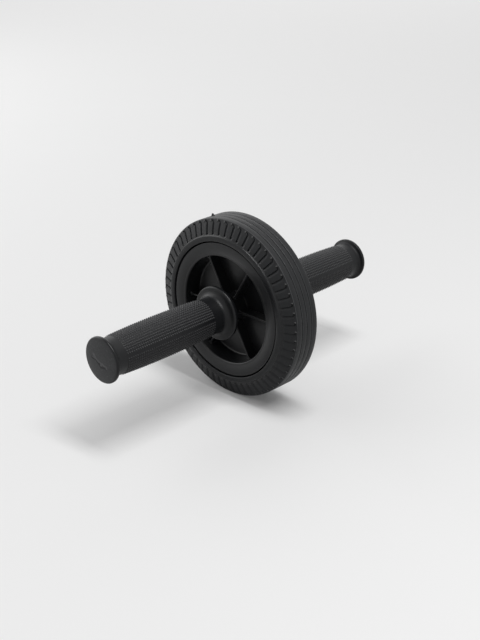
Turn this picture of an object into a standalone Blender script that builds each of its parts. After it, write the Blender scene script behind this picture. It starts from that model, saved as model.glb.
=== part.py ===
"""An ab wheel: one ribbed wheel with a soft tyre, turning on a steel rod with a grip at each end."""
import bmesh
import bpy
from math import atan2, cos, hypot, pi
from mathutils import Matrix, Vector

for old_object in list(bpy.data.objects):
    bpy.data.objects.remove(old_object, do_unlink=True)

# The axle lies along Y, the wheel rolls along X, and the tread rests on the floor at Z zero.

# Clearance between neighbouring pieces
CLEARANCE = 0.0003

# Round steps of the turned pieces
TYRE_STEPS = 60
GRIP_STEPS = 36
SMALL_STEPS = 32

# Half width of the wheel moulding and radius of the seat that carries the tyre
RIM_OUTER_OFFSET = 0.0163
SEAT_RADIUS = 0.0570

# Ridge of the seat that holds the tyre in place
SEAT_RIDGE_HEIGHT = 0.0035
SEAT_RIDGE_RADIUS = SEAT_RADIUS + SEAT_RIDGE_HEIGHT
SEAT_RIDGE_HALF_WIDTH = 0.0045

# Tyre, from the bead ring at the seat out to the tread
BEAD_INNER_STEP = 0.0018
BEAD_CREST_STEP = 0.0014
BEAD_OUTER_STEP = 0.0010
SIDEWALL_FOOT_STEP = 0.0008
SIDEWALL_HEIGHT = 0.0130
BEAD_INNER_RADIUS = SEAT_RADIUS + BEAD_INNER_STEP
BEAD_CREST_RADIUS = BEAD_INNER_RADIUS + BEAD_CREST_STEP
BEAD_OUTER_RADIUS = BEAD_CREST_RADIUS + BEAD_OUTER_STEP
SIDEWALL_FOOT_RADIUS = BEAD_OUTER_RADIUS + SIDEWALL_FOOT_STEP
TYRE_RADIUS = SIDEWALL_FOOT_RADIUS + SIDEWALL_HEIGHT
BEAD_STAND = 0.0003
BEAD_DROP = 0.0006
BEAD_OFFSET = RIM_OUTER_OFFSET + BEAD_STAND
BEAD_LOW_OFFSET = BEAD_OFFSET - BEAD_DROP
GROOVE_DEPTH = 0.0023
GROOVE_FLOOR_OFFSET = BEAD_OFFSET - GROOVE_DEPTH
SIDEWALL_FOOT_STEP_IN = 0.0003
SIDEWALL_FOOT_OFFSET = BEAD_LOW_OFFSET - SIDEWALL_FOOT_STEP_IN
SIDEWALL_FALL = 0.0046
TREAD_HALF_WIDTH = SIDEWALL_FOOT_OFFSET - SIDEWALL_FALL
TREAD_GROOVE_PITCH = 0.0054
TREAD_GROOVE_HALF_WIDTH = 0.00075
TREAD_GROOVE_FLOOR_HALF_WIDTH = 0.00035
TREAD_GROOVE_DEPTH = 0.0012

# Fine slits between the blocks of the sidewall
SLIT_COUNT = 60
SLIT_WIDTH = 0.0008
SLIT_DEPTH = 0.0011
SLIT_INNER_STEP = 0.0004
SLIT_OUTER_STEP = 0.0012
SLIT_INNER_RADIUS = SIDEWALL_FOOT_RADIUS + SLIT_INNER_STEP
SLIT_OUTER_RADIUS = TYRE_RADIUS - SLIT_OUTER_STEP

# Moulding mark that stands on the tread
NIB_RADIUS = 0.0008
NIB_HEIGHT = 0.0008
NIB_ROOT = 0.0010
NIB_OFFSET = -0.0028
NIB_TURN = 0.323

# Wheel moulding
RIM_CHAMFER = 0.0006
RIM_DISH = 0.0003
RIM_INNER_OFFSET = RIM_OUTER_OFFSET - RIM_DISH
RIM_FACE_WIDTH = 0.0118
OPENING_RADIUS = SEAT_RADIUS - RIM_FACE_WIDTH
OPENING_ROUND = 0.0018
BARREL_DRAFT = 0.0024
BARREL_RADIUS_AT_WEB = OPENING_RADIUS - BARREL_DRAFT
WEB_HALF_THICKNESS = 0.0015
HUB_RADIUS = 0.0122
HUB_DRAFT = 0.0007
HUB_END_RADIUS = HUB_RADIUS - HUB_DRAFT
HUB_SINK = 0.0008
HUB_HALF_LENGTH = RIM_OUTER_OFFSET - HUB_SINK

# Stiffening ribs
RIB_COUNT = 6
RIB_THICKNESS = 0.0020
RIB_SINK = 0.0058
RIB_TOP_OFFSET = RIM_OUTER_OFFSET - RIB_SINK
RIB_ROOT = 0.0006

# Rod that carries the wheel and the grips
ROD_RADIUS = 0.0060
ROD_HALF_LENGTH = 0.1385
ROD_CHAMFER = 0.0008
ROD_STAND = 0.0030

# Flanged bushes of the hub
BUSH_WALL = 0.0017
BUSH_SEAT_RADIUS = ROD_RADIUS + CLEARANCE + BUSH_WALL + CLEARANCE
BUSH_FLANGE_STEP = 0.0022
BUSH_FLANGE_RADIUS = BUSH_SEAT_RADIUS + BUSH_FLANGE_STEP
BUSH_FLANGE_THICKNESS = 0.0012
BUSH_LENGTH = 0.0110

# Thrust washers
WASHER_RIM = 0.0055
WASHER_RADIUS = ROD_RADIUS + WASHER_RIM
WASHER_THICKNESS = 0.0010

# Faces that follow one another outwards along the rod, from the hub to the sleeve of the grip
BUSH_OUTER_FACE = HUB_HALF_LENGTH + CLEARANCE + BUSH_FLANGE_THICKNESS
WASHER_INNER_FACE = BUSH_OUTER_FACE + CLEARANCE
WASHER_OUTER_FACE = WASHER_INNER_FACE + WASHER_THICKNESS
CORE_NOSE_FACE = WASHER_OUTER_FACE + CLEARANCE

# Sleeves inside the grips
CORE_WALL = 0.0060
CORE_RADIUS = ROD_RADIUS + CORE_WALL
CORE_NOSE_WALL = 0.0035
CORE_NOSE_RADIUS = ROD_RADIUS + CORE_NOSE_WALL
CORE_END_OFFSET = ROD_HALF_LENGTH - ROD_STAND

# Push nuts on the ends of the rod
NUT_RIM = 0.0045
NUT_RADIUS = ROD_RADIUS + NUT_RIM
NUT_THICKNESS = 0.0008
NUT_INNER_FACE = CORE_END_OFFSET + CLEARANCE
NUT_OUTER_FACE = NUT_INNER_FACE + NUT_THICKNESS

# Guard of the grip, outwards from its face
GRIP_WALL = 0.0027
NECK_RADIUS = CORE_RADIUS + CLEARANCE + GRIP_WALL
GUARD_FACE_STEP = 0.0022
GUARD_FACE_OFFSET = CORE_NOSE_FACE + GUARD_FACE_STEP
GUARD_STAND = 0.0074
GUARD_RADIUS = NECK_RADIUS + GUARD_STAND
GUARD_FACE_ROUND = 0.0034
GUARD_FACE_RADIUS = GUARD_RADIUS - GUARD_FACE_ROUND
GUARD_LIP_STEP = 0.0024
GUARD_LIP_OFFSET = GUARD_FACE_OFFSET + GUARD_LIP_STEP
GUARD_BACK_STEP = 0.0030
GUARD_BACK_OFFSET = GUARD_LIP_OFFSET + GUARD_BACK_STEP
GUARD_BACK_ROUND = 0.0017
GUARD_BACK_RADIUS = GUARD_RADIUS - GUARD_BACK_ROUND
NECK_MIDDLE_STEP = 0.0028
NECK_MIDDLE_OFFSET = GUARD_BACK_OFFSET + NECK_MIDDLE_STEP
NECK_MIDDLE_STAND = 0.0020
NECK_MIDDLE_RADIUS = NECK_RADIUS + NECK_MIDDLE_STAND
NECK_START_STEP = 0.0040
NECK_START_OFFSET = NECK_MIDDLE_OFFSET + NECK_START_STEP

# Textured barrel of the grip
NECK_LENGTH = 0.0072
KNURL_START_OFFSET = NECK_START_OFFSET + NECK_LENGTH
KNURL_STEP = 0.0004
GRIP_BULGE = 0.0010
GRIP_RADIUS = NECK_RADIUS
GRIP_WAISTS = 7

# Flared end of the grip, back from its end face, which stands past the end of the rod
GRIP_FLOOR_STEP = 0.0020
GRIP_FLOOR_OFFSET = ROD_HALF_LENGTH + GRIP_FLOOR_STEP
END_FACE_THICKNESS = 0.0033
END_FACE_OFFSET = GRIP_FLOOR_OFFSET + END_FACE_THICKNESS
LIP_ROUND = 0.0018
LIP_WIDTH = 0.0020
FLARE_LIP_END = END_FACE_OFFSET - LIP_ROUND
FLARE_LIP_START = FLARE_LIP_END - LIP_WIDTH
FLARE_STAND = 0.0032
FLARE_RADIUS = NECK_RADIUS + FLARE_STAND
END_FACE_ROUND = 0.0022
END_FACE_RADIUS = FLARE_RADIUS - END_FACE_ROUND
END_FACE_CROWN = 0.0009
END_FACE_CROWN_WIDTH = 0.0070
END_FACE_MIDDLE_RADIUS = END_FACE_RADIUS - END_FACE_CROWN_WIDTH
FLARE_MIDDLE_STEP = 0.0022
FLARE_MIDDLE_OFFSET = FLARE_LIP_START - FLARE_MIDDLE_STEP
FLARE_MIDDLE_STAND = 0.0013
FLARE_MIDDLE_RADIUS = NECK_RADIUS + FLARE_MIDDLE_STAND
FLARE_START_STEP = 0.0033
FLARE_START_OFFSET = FLARE_MIDDLE_OFFSET - FLARE_START_STEP
OUTER_NECK_LENGTH = 0.0045
KNURL_END_OFFSET = FLARE_START_OFFSET - OUTER_NECK_LENGTH


def paint(name, colour, roughness, metallic):
    """Plain surface of one piece: colour, roughness and how metallic it is."""
    material = bpy.data.materials.new(name)
    material.use_nodes = True
    shader = material.node_tree.nodes["Principled BSDF"]
    shader.inputs["Base Color"].default_value = (*colour, 1)
    shader.inputs["Roughness"].default_value = roughness
    shader.inputs["Metallic"].default_value = metallic
    material.diffuse_color = (*colour, 1)
    return material


RUBBER_COLOUR = (0.020, 0.021, 0.023)
PLASTIC_COLOUR = (0.016, 0.017, 0.019)
GRIP_COLOUR = (0.022, 0.023, 0.025)
STEEL_COLOUR = (0.56, 0.57, 0.58)
ZINC_COLOUR = (0.62, 0.62, 0.60)
SPRING_COLOUR = (0.30, 0.30, 0.31)
BUSH_COLOUR = (0.62, 0.60, 0.54)
CORE_COLOUR = (0.045, 0.045, 0.048)
RUBBER_ROUGHNESS = 0.58
PLASTIC_ROUGHNESS = 0.36
GRIP_ROUGHNESS = 0.48
STEEL_ROUGHNESS = 0.28
ZINC_ROUGHNESS = 0.38
SPRING_ROUGHNESS = 0.42
BUSH_ROUGHNESS = 0.50
CORE_ROUGHNESS = 0.55


def finished(name, body, material, place, crease=pi / GRIP_STEPS * 5):
    """Object of one piece, shaded smooth with its true edges kept."""
    mesh = bpy.data.meshes.new(name)
    body.to_mesh(mesh)
    body.free()
    mesh.materials.append(material)
    mesh.shade_smooth()
    mesh.set_sharp_from_angle(angle=crease)
    piece = bpy.data.objects.new(name, mesh)
    bpy.context.scene.collection.objects.link(piece)
    piece.parent = place
    return piece


def turned(outline, steps):
    """Outline of (along the axle, radius) points turned once round the axle."""
    body = bmesh.new()
    lead = Matrix.Rotation(pi / steps, 4, "Y")
    corners = [body.verts.new(lead @ Vector((0, along, radius))) for along, radius in outline]
    for first, second in zip(corners, corners[1:]):
        body.edges.new((first, second))
    hollow = outline[0][1] > 0
    if hollow:
        body.edges.new((corners[-1], corners[0]))
    outline_parts = body.verts[:] + body.edges[:]
    bmesh.ops.spin(
        body, geom=outline_parts, cent=(0, 0, 0), axis=(0, 1, 0), angle=2 * pi, steps=steps, use_merge=True
    )
    if not hollow:
        ends = [corner for corner in body.verts if hypot(corner.co.x, corner.co.z) < CLEARANCE / steps]
        bmesh.ops.remove_doubles(body, verts=ends, dist=CLEARANCE / steps)
    bmesh.ops.recalc_face_normals(body, faces=body.faces)
    return body


def mirrored_outline(half):
    """Outline that is the same on both sides of the wheel plane, from its half with positive offsets."""
    other = [(-along, radius) for along, radius in reversed(half)]
    return half + other


def one_side(outline, side):
    """The same outline on the chosen side of the wheel."""
    return [(side * along, radius) for along, radius in outline]


def helper(name, body, place):
    """Shape that only cuts or joins another piece."""
    mesh = bpy.data.meshes.new(name)
    body.to_mesh(mesh)
    body.free()
    shape = bpy.data.objects.new(name, mesh)
    bpy.context.scene.collection.objects.link(shape)
    shape.parent = place
    shape.hide_render = True
    shape.display_type = "WIRE"
    return shape


def combine(piece, shape, operation):
    """Boolean of a helper shape with a piece."""
    step = piece.modifiers.new(shape.name, "BOOLEAN")
    step.operation = operation
    step.solver = "EXACT"
    step.object = shape


def block(body, size, place):
    """Box of the given size under the given placement."""
    scale = Matrix.Diagonal((*size, 1))
    bmesh.ops.create_cube(body, size=1, matrix=place @ scale)


def joint_frame(name):
    """Empty on the axle line, at the middle of the wheel."""
    frame = bpy.data.objects.new(name, None)
    bpy.context.scene.collection.objects.link(frame)
    frame.location = (0, 0, AXLE_HEIGHT)
    return frame


# The tread's lowest facet lies on the floor
AXLE_HEIGHT = TYRE_RADIUS * cos(pi / TYRE_STEPS)


def tyre_outline():
    """Half of the tyre's section: ribbed tread, blocked sidewall, bead ring and the seat inside."""
    floor_radius = TYRE_RADIUS - TREAD_GROOVE_DEPTH
    half = [(TREAD_GROOVE_FLOOR_HALF_WIDTH, floor_radius), (TREAD_GROOVE_HALF_WIDTH, TYRE_RADIUS)]
    half.append((TREAD_GROOVE_PITCH - TREAD_GROOVE_HALF_WIDTH, TYRE_RADIUS))
    half.append((TREAD_GROOVE_PITCH - TREAD_GROOVE_FLOOR_HALF_WIDTH, floor_radius))
    half.append((TREAD_GROOVE_PITCH + TREAD_GROOVE_FLOOR_HALF_WIDTH, floor_radius))
    half.append((TREAD_GROOVE_PITCH + TREAD_GROOVE_HALF_WIDTH, TYRE_RADIUS))
    half.append((TREAD_HALF_WIDTH, TYRE_RADIUS))
    half.append((SIDEWALL_FOOT_OFFSET, SIDEWALL_FOOT_RADIUS))
    half.append((BEAD_LOW_OFFSET, BEAD_OUTER_RADIUS))
    half.append((BEAD_OFFSET, BEAD_CREST_RADIUS))
    half.append((BEAD_LOW_OFFSET, BEAD_INNER_RADIUS))
    half.append((GROOVE_FLOOR_OFFSET, SEAT_RADIUS + CLEARANCE))
    half.append((SEAT_RIDGE_HALF_WIDTH + CLEARANCE, SEAT_RADIUS + CLEARANCE))
    half.append((SEAT_RIDGE_HALF_WIDTH + CLEARANCE, SEAT_RIDGE_RADIUS + CLEARANCE))
    return half


def slit_cutters():
    """Thin blocks laid along both sidewalls, one for each slit."""
    body = bmesh.new()
    fall = SIDEWALL_FOOT_OFFSET - TREAD_HALF_WIDTH
    rise = TYRE_RADIUS - SIDEWALL_FOOT_RADIUS
    slope = atan2(fall, rise)
    middle_radius = (SLIT_INNER_RADIUS + SLIT_OUTER_RADIUS) / 2
    middle_offset = TREAD_HALF_WIDTH + fall * (TYRE_RADIUS - middle_radius) / rise
    length = (SLIT_OUTER_RADIUS - SLIT_INNER_RADIUS) / cos(slope)
    size = (SLIT_WIDTH, 2 * SLIT_DEPTH, length)
    for side in (-1, 1):
        lean = Matrix.Rotation(side * slope, 4, "X")
        shift = Matrix.Translation((0, side * middle_offset, middle_radius))
        for number in range(SLIT_COUNT):
            turn = Matrix.Rotation(2 * pi * number / SLIT_COUNT, 4, "Y")
            block(body, size, turn @ shift @ lean)
    return body


def nib():
    """Short peg that stands on the tread."""
    body = bmesh.new()
    middle = TYRE_RADIUS + (NIB_HEIGHT - NIB_ROOT) / 2
    place = Matrix.Rotation(-NIB_TURN, 4, "Y") @ Matrix.Translation((0, NIB_OFFSET, middle))
    depth = NIB_HEIGHT + NIB_ROOT
    ends = {"radius1": NIB_RADIUS, "radius2": NIB_RADIUS, "depth": depth}
    bmesh.ops.create_cone(body, cap_ends=True, segments=12, matrix=place, **ends)
    return body


def build_tyre(place):
    """Soft tyre pressed over the wheel moulding."""
    material = paint("tyre_rubber", RUBBER_COLOUR, RUBBER_ROUGHNESS, 0)
    body = turned(mirrored_outline(tyre_outline()), TYRE_STEPS)
    piece = finished("tyre", body, material, place)
    combine(piece, helper("tyre_slits", slit_cutters(), place), "DIFFERENCE")
    combine(piece, helper("tyre_nib", nib(), place), "UNION")


def wheel_outline():
    """Half of the wheel's section: hub, web, barrel, rim face and tyre seat."""
    return [
        (0, BUSH_SEAT_RADIUS),
        (HUB_HALF_LENGTH, BUSH_SEAT_RADIUS),
        (HUB_HALF_LENGTH, HUB_END_RADIUS),
        (WEB_HALF_THICKNESS, HUB_RADIUS),
        (WEB_HALF_THICKNESS, BARREL_RADIUS_AT_WEB),
        (RIM_INNER_OFFSET - OPENING_ROUND, OPENING_RADIUS),
        (RIM_INNER_OFFSET - OPENING_ROUND / 3, OPENING_RADIUS + OPENING_ROUND / 3),
        (RIM_INNER_OFFSET, OPENING_RADIUS + OPENING_ROUND),
        (RIM_OUTER_OFFSET, SEAT_RADIUS - RIM_CHAMFER),
        (RIM_OUTER_OFFSET - RIM_CHAMFER, SEAT_RADIUS),
        (SEAT_RIDGE_HALF_WIDTH, SEAT_RADIUS),
        (SEAT_RIDGE_HALF_WIDTH, SEAT_RIDGE_RADIUS),
    ]


def rib_blocks():
    """Radial ribs on both sides of the web, from the hub out to the barrel."""
    body = bmesh.new()
    depth = RIB_TOP_OFFSET - WEB_HALF_THICKNESS + RIB_ROOT
    inner = HUB_END_RADIUS - RIB_ROOT
    reach = OPENING_RADIUS + RIB_ROOT - inner
    size = (reach, depth, RIB_THICKNESS)
    for side in (-1, 1):
        offset = side * (RIB_TOP_OFFSET - depth / 2)
        shift = Matrix.Translation((inner + reach / 2, offset, 0))
        for number in range(RIB_COUNT):
            turn = Matrix.Rotation(2 * pi * number / RIB_COUNT, 4, "Y")
            block(body, size, turn @ shift)
    return body


def build_wheel(place):
    """One plastic moulding: hub, closed web, ribs, barrel and rim."""
    material = paint("wheel_plastic", PLASTIC_COLOUR, PLASTIC_ROUGHNESS, 0)
    outline = wheel_outline()
    other = [(-along, radius) for along, radius in reversed(outline[1:])]
    body = turned(outline[1:] + other, TYRE_STEPS)
    piece = finished("wheel_moulding", body, material, place)
    combine(piece, helper("wheel_ribs", rib_blocks(), place), "UNION")


def build_bush(name, side, place, material):
    """Flanged plastic bush pushed into one end of the hub."""
    face = HUB_HALF_LENGTH + CLEARANCE
    flange_end = face + BUSH_FLANGE_THICKNESS
    sleeve_end = face - BUSH_LENGTH
    bore = ROD_RADIUS + CLEARANCE
    sleeve = BUSH_SEAT_RADIUS - CLEARANCE
    outline = [
        (sleeve_end, bore),
        (flange_end, bore),
        (flange_end, BUSH_FLANGE_RADIUS),
        (face, BUSH_FLANGE_RADIUS),
        (face, sleeve),
        (sleeve_end, sleeve),
    ]
    return finished(name, turned(one_side(outline, side), SMALL_STEPS), material, place)


def build_washer(name, side, place, material):
    """Flat steel washer between the hub and the sleeve of a grip."""
    bore = ROD_RADIUS + CLEARANCE
    outline = [
        (WASHER_INNER_FACE, bore),
        (WASHER_OUTER_FACE, bore),
        (WASHER_OUTER_FACE, WASHER_RADIUS),
        (WASHER_INNER_FACE, WASHER_RADIUS),
    ]
    return finished(name, turned(one_side(outline, side), SMALL_STEPS), material, place)


def build_rod(place):
    """Solid round steel rod with a small chamfer at both ends."""
    material = paint("rod_steel", STEEL_COLOUR, STEEL_ROUGHNESS, 1)
    edge = ROD_RADIUS - ROD_CHAMFER
    shoulder = ROD_HALF_LENGTH - ROD_CHAMFER
    half = [(shoulder, ROD_RADIUS), (ROD_HALF_LENGTH, edge), (ROD_HALF_LENGTH, 0)]
    other = [(-along, radius) for along, radius in reversed(half)]
    return finished("axle_rod", turned(other + half, SMALL_STEPS), material, place)


def build_core(name, side, place, material):
    """Plastic sleeve pressed on the rod, with a nose that bears on the washer."""
    bore = ROD_RADIUS + CLEARANCE
    outline = [
        (CORE_NOSE_FACE, bore),
        (CORE_END_OFFSET, bore),
        (CORE_END_OFFSET, CORE_RADIUS),
        (GUARD_FACE_OFFSET, CORE_RADIUS),
        (GUARD_FACE_OFFSET, CORE_NOSE_RADIUS),
        (CORE_NOSE_FACE, CORE_NOSE_RADIUS),
    ]
    return finished(name, turned(one_side(outline, side), SMALL_STEPS), material, place)


def build_nut(name, side, place, material):
    """Pressed steel push nut that keeps the sleeve on the rod."""
    bore = ROD_RADIUS + CLEARANCE
    outline = [
        (NUT_INNER_FACE, bore),
        (NUT_OUTER_FACE, bore),
        (NUT_OUTER_FACE, NUT_RADIUS),
        (NUT_INNER_FACE, NUT_RADIUS),
    ]
    return finished(name, turned(one_side(outline, side), SMALL_STEPS), material, place)


def grip_outline():
    """Section of one grip: guard, neck, textured barrel, flared end and the blind bore."""
    bore = CORE_RADIUS + CLEARANCE
    outline = [
        (GRIP_FLOOR_OFFSET, 0),
        (GRIP_FLOOR_OFFSET, bore),
        (GUARD_FACE_OFFSET, bore),
        (GUARD_FACE_OFFSET, GUARD_FACE_RADIUS),
        (GUARD_LIP_OFFSET, GUARD_RADIUS),
        (GUARD_BACK_OFFSET, GUARD_BACK_RADIUS),
        (NECK_MIDDLE_OFFSET, NECK_MIDDLE_RADIUS),
        (NECK_START_OFFSET, NECK_RADIUS),
        (KNURL_START_OFFSET, NECK_RADIUS),
    ]
    length = KNURL_END_OFFSET - KNURL_START_OFFSET
    for number in range(GRIP_WAISTS):
        share = number / (GRIP_WAISTS - 1)
        swell = 4 * share * (1 - share) * GRIP_BULGE
        outline.append((KNURL_START_OFFSET + share * length, GRIP_RADIUS + KNURL_STEP + swell))
    outline += [
        (KNURL_END_OFFSET, GRIP_RADIUS),
        (FLARE_START_OFFSET, GRIP_RADIUS),
        (FLARE_MIDDLE_OFFSET, FLARE_MIDDLE_RADIUS),
        (FLARE_LIP_START, FLARE_RADIUS),
        (FLARE_LIP_END, FLARE_RADIUS),
        (END_FACE_OFFSET, END_FACE_RADIUS),
        (END_FACE_OFFSET + END_FACE_CROWN, END_FACE_MIDDLE_RADIUS),
        (END_FACE_OFFSET + END_FACE_CROWN, 0),
    ]
    return outline


def build_grip(name, side, place, material):
    """Moulded grip over the sleeve."""
    return finished(name, turned(one_side(grip_outline(), side), GRIP_STEPS), material, place)


def build_all():
    """All the pieces on the two joint frames."""
    handle = joint_frame("handle_frame")
    wheel = joint_frame("wheel_frame")
    build_wheel(wheel)
    build_tyre(wheel)
    build_rod(handle)
    bush = paint("bush_plastic", BUSH_COLOUR, BUSH_ROUGHNESS, 0)
    zinc = paint("washer_zinc", ZINC_COLOUR, ZINC_ROUGHNESS, 1)
    spring = paint("spring_steel", SPRING_COLOUR, SPRING_ROUGHNESS, 1)
    core = paint("core_plastic", CORE_COLOUR, CORE_ROUGHNESS, 0)
    grip = paint("grip_plastic", GRIP_COLOUR, GRIP_ROUGHNESS, 0)
    for word, side in (("right", -1), ("left", 1)):
        build_bush("hub_bush_" + word, side, wheel, bush)
        build_washer("thrust_washer_" + word, side, handle, zinc)
        build_core("grip_core_" + word, side, handle, core)
        build_nut("push_nut_" + word, side, handle, spring)
        build_grip("grip_" + word, side, handle, grip)


build_all()
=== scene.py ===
from math import atan2, cos, hypot, pi, radians, sin, tan

import bpy
import numpy as np
from mathutils import Matrix, Vector


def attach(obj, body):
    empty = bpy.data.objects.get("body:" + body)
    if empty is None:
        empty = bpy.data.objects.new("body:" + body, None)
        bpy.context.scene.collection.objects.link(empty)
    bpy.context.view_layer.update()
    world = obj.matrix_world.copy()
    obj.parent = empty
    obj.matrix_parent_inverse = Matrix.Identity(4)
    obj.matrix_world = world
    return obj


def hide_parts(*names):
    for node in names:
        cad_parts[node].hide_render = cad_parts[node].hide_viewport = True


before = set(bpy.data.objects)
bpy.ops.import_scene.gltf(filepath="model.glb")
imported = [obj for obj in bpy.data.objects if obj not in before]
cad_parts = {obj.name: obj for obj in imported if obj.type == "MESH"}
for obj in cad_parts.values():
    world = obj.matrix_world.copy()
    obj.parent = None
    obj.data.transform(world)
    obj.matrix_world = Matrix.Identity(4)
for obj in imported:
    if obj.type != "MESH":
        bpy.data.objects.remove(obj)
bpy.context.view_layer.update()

# The axle lies along Y at this height, the wheel rolls along X, and the floor is at Z zero.
AXLE_HEIGHT = 0.0748972


# Camera
# It stands above the axle and to one side, so that one grip points towards it and the other
# shows behind the tread. It is level from left to right.
VIEW_AZIMUTH = radians(44.0)
VIEW_ELEVATION = radians(24.28)
VIEW_DISTANCE = 0.91575
VIEW_RIGHT = 0.0017925
VIEW_DOWN = 0.012675
FOCAL_LENGTH = 63.34
SENSOR_HEIGHT = 36
NEAREST_SEEN = 0.05
FARTHEST_SEEN = 60

towards_eye = Vector((
    sin(VIEW_AZIMUTH) * cos(VIEW_ELEVATION),
    -cos(VIEW_AZIMUTH) * cos(VIEW_ELEVATION),
    sin(VIEW_ELEVATION),
))
eye_right = Vector((cos(VIEW_AZIMUTH), sin(VIEW_AZIMUTH), 0))
eye_up = towards_eye.cross(eye_right)
eye_place = Matrix((eye_right, eye_up, towards_eye)).transposed().to_4x4()
eye_place.translation = (
    Vector((0, 0, AXLE_HEIGHT)) + towards_eye * VIEW_DISTANCE + eye_right * VIEW_RIGHT - eye_up * VIEW_DOWN
)
lens = bpy.data.cameras.new("view")
lens.sensor_fit = "VERTICAL"
lens.sensor_height = SENSOR_HEIGHT
lens.lens = FOCAL_LENGTH
lens.clip_start = NEAREST_SEEN
lens.clip_end = FARTHEST_SEEN
eye = bpy.data.objects.new("view", lens)
eye.matrix_world = eye_place
bpy.context.scene.collection.objects.link(eye)
bpy.context.scene.camera = eye


# Tyre
# A soft rubber tyre pressed over the wheel moulding, moulded in one piece: four flat ribs round
# the tread, sixty hooked slits down each sidewall, and a smooth raised bead ring at its foot.
TYRE_RADIUS = 0.0749
TREAD_EDGE = 0.0111
TREAD_GROOVE_PITCH = 0.0054
TREAD_GROOVE_TOP = 0.00060
TREAD_GROOVE_FLOOR = 0.00016
TREAD_GROOVE_DEPTH = 0.00080
TREAD_EDGE_ROUND = 0.00045
SHOULDER_ROUND = 0.00045
SIDEWALL_FOOT_RADIUS = 0.0620
SIDEWALL_FOOT_OFFSET = 0.0159
SIDEWALL_FOOT_ROUND = 0.00012
SIDEWALL_SWELL = 0.00025
SIDEWALL_END_RADIUS = 0.06212
SIDEWALL_END_OFFSET = 0.01585

# Bead ring, and the gap between it and the wheel's rim
BEAD_OUTER_OFFSET = 0.01710
BEAD_OUTER_RADIUS = 0.06152
BEAD_CREST_OFFSET = 0.01720
BEAD_CREST_RADIUS = 0.05930
BEAD_INNER_OFFSET = 0.01705
BEAD_INNER_RADIUS = 0.05720
BEAD_ROUND = 0.0004
GAP_TOP_OFFSET = 0.01500
GAP_TOP_RADIUS = 0.05705
GAP_ROUND = 0.0002
GAP_FLOOR_OFFSET = 0.01460
SEAT_RADIUS = 0.0566
SEAT_RIDGE_RADIUS = 0.0608
SEAT_RIDGE_EDGE = 0.0048

# Slits, each a line with a steep wall on one side and a long slope on the other
SLIT_COUNT = 60
SLIT_START = 0.0621
SLIT_START_RAMP = 0.0008
SLIT_BEND = 0.0709
SLIT_HOOK = 0.00225
SLIT_WALL_TOP = 0.00042
SLIT_WALL_FOOT = 0.00014
SLIT_SLOPE = 0.0022
SLIT_SLOPE_END = 0.0004
SLIT_DEPTH = 0.00096
SLIT_DULL_START = 0.0632
NUB_HEIGHT = 0.00080
NUB_WIDTH = 0.00045
NUB_LENGTH = 0.00085
NUB_ASIDE = 0.0027
NUB_RADIUS = 0.0733

# Rows down the sidewall, close together round the hooks and where the slits start
SHOULDER_ROW = 0.07425
HOOK_ROWS_START = 0.07385
HOOK_ROWS_END = 0.0707
HOOK_ROWS_STEP = 0.0003
SLIT_ROWS = (0.0705, 0.0700, 0.0688, 0.0668, 0.0648, 0.0636, 0.0632, 0.0629, 0.0625)

# Columns of one slit, in shares of the pitch, with the hook on the negative side
SLIT_COLUMNS = np.array((
    -0.47, -0.42, -0.37, -0.32, -0.27, -0.22, -0.17, -0.125,
    -0.09, -0.065, -0.02, 0.05, 0.13, 0.21, 0.29, 0.37,
))

# The polish of the bead: half of it below the first radius, half of it round the second
POLISH_RADIUS = 0.0640
POLISH_BAND_RADIUS = 0.0627
POLISH_BAND_HALF = 0.0013

# Faces that meet at more than this angle keep a true edge between them
EDGE_ANGLE = radians(50)


def rounded(corners, steps):
    """Profile through (along, radius, rounding) corners. Each corner gives way to an arc with that
    rounding radius which touches both of its sides; the first and last corners stay as they are."""
    points = [corners[0][:2]]
    for before, here, after in zip(corners, corners[1:], corners[2:]):
        if not here[2]:
            points.append(here[:2])
            continue
        back = np.subtract(before[:2], here[:2])
        ahead = np.subtract(after[:2], here[:2])
        back = back / hypot(*back)
        ahead = ahead / hypot(*ahead)
        middle = (back + ahead) / hypot(*(back + ahead))
        half_angle = np.arccos(np.clip(np.dot(back, ahead), -1, 1)) / 2
        centre = np.add(here[:2], middle * here[2] / sin(half_angle))
        first = np.add(here[:2], back * here[2] / tan(half_angle)) - centre
        last = np.add(here[:2], ahead * here[2] / tan(half_angle)) - centre
        start = atan2(first[1], first[0])
        sweep = (atan2(last[1], last[0]) - start + pi) % (2 * pi) - pi
        turns = start + sweep * np.linspace(0, 1, steps + 1)
        points.extend(centre + here[2] * np.stack([np.cos(turns), np.sin(turns)], -1))
    points.append(corners[-1][:2])
    return np.array(points)


def grid_faces(rows, columns, closed_rows, first=0):
    """Quads of a grid whose columns go all the way round; closed rows join the last row to the first."""
    row = np.arange(rows if closed_rows else rows - 1)[:, None] * columns
    above = (row + columns) % (rows * columns)
    column = np.arange(columns)[None, :]
    ahead = (column + 1) % columns
    quads = np.stack([row + column, row + ahead, above + ahead, above + column], -1)
    return quads.reshape(-1, 4) + first


def fan_faces(pole, ring):
    """Triangles from one pole point to every side of a closed ring of points."""
    return np.stack([np.full(len(ring), pole), ring, np.roll(ring, -1)], -1)


def shell_faces(rows, columns):
    """Faces of a grid that two poles close, one at the first row and one at the last. The poles are
    the two points after the grid's own."""
    first_pole = rows * columns
    return [
        grid_faces(rows, columns, False),
        fan_faces(first_pole, np.arange(columns)[::-1]),
        fan_faces(first_pole + 1, np.arange(columns) + (rows - 1) * columns),
    ]


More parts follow.
